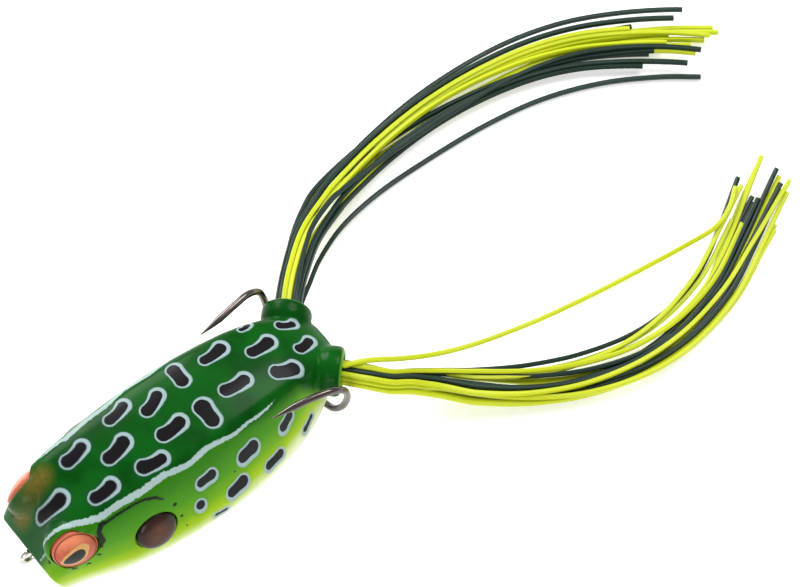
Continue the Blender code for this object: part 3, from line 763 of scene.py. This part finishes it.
def makeEyes():
    material = eyeMaterial()
    for word, side in (("left", 1), ("right", -1)):
        normal = Vector(mirrored(eye["normal"], side)).normalized()
        centre = Vector(mirrored(eye["centre"], side))
        base = centre - normal * eye["seat"]
        profile = eyeProfile()
        lens = turned(word + "EyeVisual", profile, 96, base, normal, material, sharp=50)
        # flat coordinates of the eye face: x forward, y up, both in radii
        frontwards = Vector((0, -1, 0))
        frontwards = (frontwards - normal * frontwards.dot(normal)).normalized()
        upwards = normal.cross(frontwards) * side
        if upwards.z < 0:
            upwards = -upwards
        for name, direction in (("eyeX", frontwards), ("eyeY", upwards)):
            layer = lens.data.attributes.new(name, "FLOAT", "POINT")
            values = [((v.co / mm - base).dot(direction)) / eye["radius"] for v in lens.data.vertices]
            layer.data.foreach_set("value", values)
        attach(lens, "frog_body")
        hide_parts(word + "_eye_lens", word + "_eye_foil")


# a seat, a rolled rim, a shallow ditch and the domed iris
def eyeProfile():
    r = eye["radius"]
    rise = eye["dome"]
    base = eye["seat"]
    points = [(0, 0), (r, 0), (r, base + 0.05)]
    for i in range(1, 7):
        a = math.pi * 0.85 * i / 7
        points.append((r - 0.22 + 0.22 * math.cos(a), base + 0.05 + 0.26 * math.sin(a)))
    count = 34
    inner = points[-1][0] - 0.1
    for i in range(count):
        t = 1 - i / count
        radius = inner * t
        points.append((radius, base + 0.1 + rise * 0.95 * (1 - (radius / r) ** 2) ** 0.8))
    return points + [(0, base + 0.1 + rise * 0.95)]


def eyeMaterial():
    p = Paint("paintedEye", Roughness=0.3, Coat_Weight=0.3, Coat_Roughness=0.05, Specular_IOR_Level=0.12)
    x = p.attribute("eyeX")
    y = p.attribute("eyeY")
    far = p.math("SQRT", p.math("ADD", p.math("MULTIPLY", x, x), p.math("MULTIPLY", y, y)))
    # the pupil sits low: a teardrop drawn out towards the front
    px = p.math("ADD", x, -0.16)
    py = p.math("ADD", y, 0.24)
    point = p.math("MULTIPLY", px, 0.26)
    tall = p.math("DIVIDE", p.math("ADD", py, point), p.math("SUBTRACT", 0.34, p.math("MULTIPLY", px, 0.16)))
    wide = p.math("DIVIDE", px, 0.50)
    pupil = p.math("SQRT", p.math("ADD", p.math("MULTIPLY", tall, tall), p.math("MULTIPLY", wide, wide)))
    streaks = p.noise(900.0, 4.0, (1, 1, 1), 0.6)
    iris = p.mix(streaks, linear(148, 52, 28), linear(208, 104, 68))
    iris = p.mix(p.step(far, 0.72, 0.90), iris, linear(176, 74, 46))
    lit = p.math("ADD", y, p.math("MULTIPLY", streaks, 0.2))
    iris = p.mix(p.step(lit, 0.3, 0.85), iris, linear(228, 134, 96))
    gold = p.step(p.math("SUBTRACT", pupil, p.step(py, 0.0, 0.3, 0.0, 0.22)), 1.24, 1.36, 1.0, 0.0)
    iris = p.mix(gold, iris, p.mix(streaks, linear(178, 122, 56), linear(222, 180, 112)))
    iris = p.mix(p.step(pupil, 1.0, 1.07, 1.0, 0.0), iris, linear(18, 13, 12))
    rim = p.step(far, 0.925, 0.955)
    iris = p.mix(p.step(far, 0.86, 0.90, 0.0, 0.75), iris, linear(120, 44, 28))
    iris = p.mix(rim, iris, linear(198, 104, 72))
    p.color(iris)
    raised = p.math("ADD", p.step(pupil, 0.85, 1.1, 1.0, 0.0), p.math("MULTIPLY", streaks, 0.2))
    p.bump(raised, 0.35, 0.0002)
    return p.mat


def makeEars():
    p = Paint("brownEar", Roughness=0.26, Coat_Weight=0.15, Coat_Roughness=0.1, Specular_IOR_Level=0.12)
    blot = p.noise(330.0, 4.0, roughness=0.62)
    centre = p.step(p.attribute("far"), 0.25, 0.95)
    tone = p.mix(centre, p.mix(blot, linear(46, 25, 15), linear(100, 60, 40)), linear(44, 27, 20))
    p.color(p.mix(p.step(p.attribute("far"), 0.90, 0.97), tone, linear(30, 20, 16)))
    p.bump(blot, 0.2, 0.0001)
    for word, side in (("left", 1), ("right", -1)):
        normal = Vector(mirrored(ear["normal"], side)).normalized()
        base = Vector(mirrored(ear["centre"], side)) - normal * ear["seat"]
        profile = domeProfile(ear["radius"], ear["seat"], ear["dome"], 22)
        dome = turned(word + "EarVisual", profile, 96, base, normal, p.mat, sharp=50)
        layer = dome.data.attributes.new("far", "FLOAT", "POINT")
        values = []
        for v in dome.data.vertices:
            local = v.co / mm - base
            values.append((local - normal * local.dot(normal)).length / ear["radius"])
        layer.data.foreach_set("value", values)
        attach(dome, "frog_body")
        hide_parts(word + "_ear")


hook = {
    "wire": 1.2, "pointLength": 4.2, "tipShare": 0.06, "eyeFront": -14.6, "eyeBow": (0.8, 0.25),
    "barb": (17.6, 2.2, 0.75),
    "route": [
        (9.5, 13.0, 17.5), (9.9, 16.5, 17.5), (10.5, 20.4, 17.4), (11.1, 23.6, 16.8),
        (11.35, 25.8, 14.9), (11.2, 26.7, 12.1), (10.7, 26.9, 9.0), (9.8, 26.6, 5.8),
        (8.2, 26.1, 3.3), (6.0, 25.9, 2.0), (3.8, 25.5, 1.5), (2.2, 24.0, 1.35),
        (1.3, 21.4, 1.9), (1.0, 18.0, 3.1), (0.95, 12.0, 4.6), (0.95, 4.0, 5.1),
        (0.95, -4.0, 5.3), (0.95, -9.4, 5.3), (1.45, -11.6, 5.3), (1.35, -13.4, 5.3),
    ],
}
tie = {"z": 5.3, "wire": 0.9, "front": (-28.6, 1.35), "rear": (-14.6, 1.6)}


def makeHook():
    z = tie["z"]
    left = along(hook["route"], 200)
    half, rise = hook["eyeBow"]
    front = hook["eyeFront"]
    bow = [Vector((half, front + rise, z)), Vector((0, front, z)), Vector((-half, front + rise, z))]
    points = along(left + bow + [Vector((-p.x, p.y, p.z)) for p in reversed(left)], 460)
    travelled = [0.0]
    for a, b in zip(points, points[1:]):
        travelled.append(travelled[-1] + (b - a).length)
    radii = []
    for t in travelled:
        end = min(t, travelled[-1] - t)
        share = min(1.0, end / hook["pointLength"])
        radii.append(hook["wire"] / 2 * (hook["tipShare"] + (1 - hook["tipShare"]) * share ** 0.85))
    p = Paint("blackNickel", Roughness=0.2, Metallic=1.0)
    p.color(p.mix(p.noise(260.0, 4.0), linear(66, 60, 58), linear(120, 112, 108)))
    p.bump(p.noise(1100.0, 3.0, (1, 0.2, 1)), 0.1, 0.00004)
    wire = tube("hookVisual", points, radii, 28, p.mat)
    where, length, height = hook["barb"]
    for side in (1, -1):
        near = min(left, key=lambda q: abs(q.y - where))
        root = Vector(mirrored(near, side)) + Vector((0, -0.5, 0.0))
        spike = [(0, 0), (0.46, 0), (0.30, 0.45 * length), (0.05, length), (0, length)]
        barb = turned("barbGuide", spike, 18, root, (-0.25 * side, 0.92, height / length), start=0.1)
        boolean(wire, barb, "UNION")
    wire.data.shade_smooth()
    wire.data.set_sharp_from_angle(angle=math.radians(40))
    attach(wire, "hook_set")
    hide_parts("double_hook")


def makeLineTie():
    z = tie["z"]
    wire = tie["wire"] / 2
    p = Paint("brightNickel", Roughness=0.16, Metallic=1.0)
    p.color(p.mix(p.noise(300.0, 3.0), linear(196, 190, 184), linear(230, 226, 220)))
    rings = []
    for y, radius in (tie["front"], tie["rear"]):
        points = []
        for i in range(72):
            a = math.tau * i / 72
            points.append(Vector((0, y + radius * math.cos(a), z + radius * math.sin(a))))
        rings.append(tube("tieVisual", points, [wire] * 72, 24, p.mat, closed=True))
    front, rear = rings
    start = tie["front"][0] + tie["front"][1]
    end = tie["rear"][0] - tie["rear"][1]
    neck = turned("neckGuide", [(0, -0.15), (wire * 0.93, -0.15), (wire * 0.93, end - start + 0.15),
                                (0, end - start + 0.15)], 23, (0, start, z), (0, 1, 0), start=0.15)
    boolean(front, neck, "UNION")
    boolean(front, rear, "UNION")
    front.data.shade_smooth()
    front.data.set_sharp_from_angle(angle=math.radians(40))
    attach(front, "frog_body")
    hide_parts("line_tie")


# procedural surfaces for the pieces carried over as they are
def finishCarried():
    rubber = Paint("collarRubber", Roughness=0.5)
    rubber.color(rubber.mix(rubber.noise(500.0), linear(14, 52, 22), linear(24, 70, 30)))
    lead = Paint("keelLead", Roughness=0.5, Metallic=0.8)
    lead.color(lead.mix(lead.noise(400.0, 5.0), linear(112, 112, 114), linear(150, 150, 150)))
    lead.bump(lead.noise(900.0, 4.0), 0.3, 0.0002)
    for names, paint in ((("left_leg_collar", "right_leg_collar", "nose_grommet"), rubber),
                         (("keel_weight",), lead)):
        for name in names:
            node = bpy.data.objects[name]
            node.data.materials.clear()
            node.data.materials.append(paint.mat)


# legs

legs = {
    "left": {
        "side": 1,
        "route": [
            (7.4, 28.8, 11.6), (9.9, 31.2, 11.2), (12.2, 34.6, 9.0), (13.6, 38.8, 6.2), (15.9, 43.2, 4.0),
            (19.6, 48.0, 2.8), (24.5, 55.0, 2.2), (28.6, 63.0, 2.0), (31.0, 72.0, 1.8), (31.0, 81.0, 1.7),
            (28.7, 90.5, 1.6), (24.4, 99.5, 1.6), (20.2, 107.6, 1.6), (16.6, 115.0, 1.6),
        ],
        "stray": [
            (7.7, 29.1, 13.95), (8.4, 31.2, 13.9), (9.2, 34.0, 12.5), (10.7, 38.6, 9.8),
            (12.0, 44.0, 6.8), (13.2, 50.0, 4.4), (14.3, 57.0, 2.4), (15.5, 65.0, 1.0), (16.9, 74.0, 0.6),
            (18.3, 84.0, 0.6), (19.6, 92.0, 1.4), (20.4, 97.4, 2.6), (19.0, 101.6, 2.8), (16.6, 105.0, 2.7),
        ],
        "dark": (4, 7, 9, 10, 13, 14, 17),
    },
    "right": {
        "side": -1,
        "route": [
            (-7.4, 28.8, 11.6), (-9.9, 31.2, 11.2), (-13.5, 34.8, 9.4), (-18.2, 40.0, 7.2),
            (-21.7, 45.4, 5.2), (-24.4, 51.6, 3.8), (-26.5, 61.0, 2.6), (-27.2, 71.5, 2.1),
            (-26.7, 82.0, 1.8), (-25.2, 92.0, 1.7), (-22.4, 101.0, 1.6), (-18.3, 109.0, 1.6),
            (-13.3, 116.4, 1.6), (-7.6, 123.0, 1.6),
        ],
        "stray": [
            (-6.5, 30.3, 9.9), (-8.2, 32.4, 9.1), (-10.5, 35.4, 7.6), (-14.6, 40.8, 4.7),
            (-18.4, 48.4, 2.2), (-20.3, 57.4, 0.9), (-20.5, 68.0, 0.6), (-19.8, 80.0, 0.6),
            (-17.9, 91.0, 0.6), (-14.2, 101.0, 0.6), (-9.2, 109.5, 0.6), (-4.6, 115.5, 0.6),
        ],
        "dark": (3, 6, 7, 11, 12, 14, 15, 18, 19),
    },
}
strand = {
    "width": 0.78, "pitch": 0.84, "perRow": (3, 4, 5, 4, 3), "rowShift": 0.1, "spread": (0.9, 2.7),
    "wander": 1.15, "points": 110, "root": 1.15, "corner": 0.14, "gap": 0.06, "shortest": 0.15,
}


# centre lines in mm, one per strand, from inside the bore to the cut tip
def strandPaths(leg, seed):
    rng = random.Random(seed)
    centre = along(leg["route"], 240)
    axis = bossAxis(leg["side"])
    slots = []
    for row, count in enumerate(strand["perRow"]):
        for column in range(count):
            slots.append((row - 2, column - (count - 1) / 2))
    paths = []
    for number, (row, column) in enumerate(slots):
        reach = 1.0 - strand["shortest"] * ((number * 0.618 + 0.11) % 1.0)
        phase = rng.uniform(0, math.tau)
        pace = rng.uniform(5, 8)
        tall = rng.uniform(-0.6, 0.6)
        stray = rng.gauss(0, 0.5)
        points = []
        for i in range(strand["points"]):
            t = 0.004 + (reach - 0.004) * i / (strand["points"] - 1)
            position = t * (len(centre) - 1)
            k = min(int(position), len(centre) - 2)
            here = centre[k].lerp(centre[k + 1], position - k)
            heading = (centre[k + 1] - centre[k]).normalized()
            side = heading.cross(Vector((0, 0, 1))).normalized()
            up = side.cross(heading)
            first, last = strand["spread"]
            spread = first + (last - first) * t ** 1.3
            beside = strand["pitch"] ** 2 - (0.4 * spread) ** 2
            over = strand["pitch"] ** 2 - (0.2 * spread) ** 2
            height = max(math.sqrt(max(beside, 0)), 0.5 * math.sqrt(max(over, 0)))
            across = (column + strand["rowShift"] * row) * spread
            grow = min(1.0, t / 0.24) ** 2
            across += strand["wander"] * grow * (math.sin(phase + pace * t) * (1 - 0.4 * t) + stray * t)
            point = here + side * across + up * (row * height)
            floor = strand["width"] / 2 + strand["gap"] + (row + 2) * height
            flat = min(1.0, max(0.0, (t - 0.25) / 0.15))
            point.z = max(point.z, floor) * (1 - flat) + floor * flat
            point.z += 0.3 * grow * (1 + math.sin(phase * 2 + pace * 1.4 * t) * tall)
            points.append(point)
        root = points[0] - axis * strand["root"]
        paths.append([root] + points)
    strayPath = along(leg["stray"], strand["points"])
    paths.append([strayPath[0] - axis * 0.6] + strayPath)
    return paths


def silicone(name, dark):
    p = Paint(name, Roughness=0.34, Specular_IOR_Level=0.25)
    vary = p.noise(70.0, 2.0)
    if dark:
        p.color(p.mix(vary, linear(14, 34, 28), linear(38, 60, 50)))
    else:
        p.color(p.mix(vary, linear(180, 192, 16), linear(212, 222, 44)))
        p.shader.inputs["Subsurface Weight"].default_value = 0.25
        p.shader.inputs["Subsurface Radius"].default_value = (0.0011, 0.0011, 0.0002)
    p.bump(p.noise(1200.0, 2.0, (1, 0.3, 1)), 0.1, 0.00005)
    return p.mat


# sweeps a square bar along a curve, with its width and turn as inputs
def sweepTree():
    tree = bpy.data.node_groups.new("strandSweep", "GeometryNodeTree")
    face = tree.interface
    face.new_socket("Geometry", in_out="INPUT", socket_type="NodeSocketGeometry")
    for name in ("Width", "Turn"):
        face.new_socket(name, in_out="INPUT", socket_type="NodeSocketFloat")
    face.new_socket("Material", in_out="INPUT", socket_type="NodeSocketMaterial")
    face.new_socket("Geometry", in_out="OUTPUT", socket_type="NodeSocketGeometry")
    add = tree.nodes.new
    link = tree.links.new
    source = add("NodeGroupInput")
    result = add("NodeGroupOutput")
    tilt = add("GeometryNodeSetCurveTilt")
    link(source.outputs["Geometry"], tilt.inputs["Curve"])
    link(source.outputs["Turn"], tilt.inputs["Tilt"])
    profile = add("GeometryNodeCurvePrimitiveQuadrilateral")
    link(source.outputs["Width"], profile.inputs["Width"])
    link(source.outputs["Width"], profile.inputs["Height"])
    rounded = add("GeometryNodeFilletCurve")
    rounded.inputs["Radius"].default_value = strand["corner"] * mm
    if "Mode" in rounded.inputs:
        rounded.inputs["Mode"].default_value = "Poly"
        rounded.inputs["Count"].default_value = 2
    else:
        rounded.mode = "POLY"
        rounded.inputs["Count"].default_value = 2
    link(profile.outputs["Curve"], rounded.inputs["Curve"])
    sweep = add("GeometryNodeCurveToMesh")
    sweep.inputs["Fill Caps"].default_value = True
    link(tilt.outputs["Curve"], sweep.inputs["Curve"])
    link(rounded.outputs["Curve"], sweep.inputs["Profile Curve"])
    smooth = add("GeometryNodeSetShadeSmooth")
    link(sweep.outputs["Mesh"], smooth.inputs["Mesh" if "Mesh" in smooth.inputs else "Geometry"])
    real = add("GeometryNodeRealizeInstances")
    link(smooth.outputs[0], real.inputs["Geometry"])
    finish = add("GeometryNodeSetMaterial")
    link(real.outputs["Geometry"], finish.inputs["Geometry"])
    link(source.outputs["Material"], finish.inputs["Material"])
    link(finish.outputs["Geometry"], result.inputs["Geometry"])
    return tree


def sweep(tree, name, points, turn, material):
    curve = bpy.data.curves.new(name, "CURVE")
    curve.dimensions = "3D"
    line = curve.splines.new("POLY")
    line.points.add(len(points) - 1)
    for slot, p in zip(line.points, points):
        slot.co = (*(p * mm), 1.0)
    guide = bpy.data.objects.new(name + "Guide", curve)
    scene.collection.objects.link(guide)
    step = guide.modifiers.new("sweep", "NODES")
    step.node_group = tree
    values = {"Width": strand["width"] * mm, "Turn": turn, "Material": material}
    for item in tree.interface.items_tree:
        if item.in_out == "INPUT" and item.name in values:
            step[item.identifier] = values[item.name]
    guide.update_tag()
    graph = bpy.context.evaluated_depsgraph_get()
    mesh = bpy.data.meshes.new_from_object(guide.evaluated_get(graph))
    bpy.data.objects.remove(guide, do_unlink=True)
    obj = bpy.data.objects.new(name, mesh)
    scene.collection.objects.link(obj)
    mesh.set_sharp_from_angle(angle=math.radians(50))
    return obj


def makeLegs():
    tree = sweepTree()
    bright = silicone("yellowSilicone", False)
    shade = silicone("darkSilicone", True)
    for word, seed in (("left", 5), ("right", 9)):
        leg = legs[word]
        for number, path in enumerate(strandPaths(leg, seed)):
            dark = number in leg["dark"]
            name = f"{word}Strand{number + 1:02d}"
            obj = sweep(tree, name, path, 0.3 * math.sin(number * 2.1), shade if dark else bright)
            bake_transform(obj)
            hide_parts(f"{word}_leg_strand_{number + 1:02d}")
    print("legs done")


makeCamera()
makeLegs()
makeBody()
print("body done")
makeEyes()
makeEars()
makeHook()
makeLineTie()
finishCarried()
makeFloor()
makeLights()
print("scene ready")
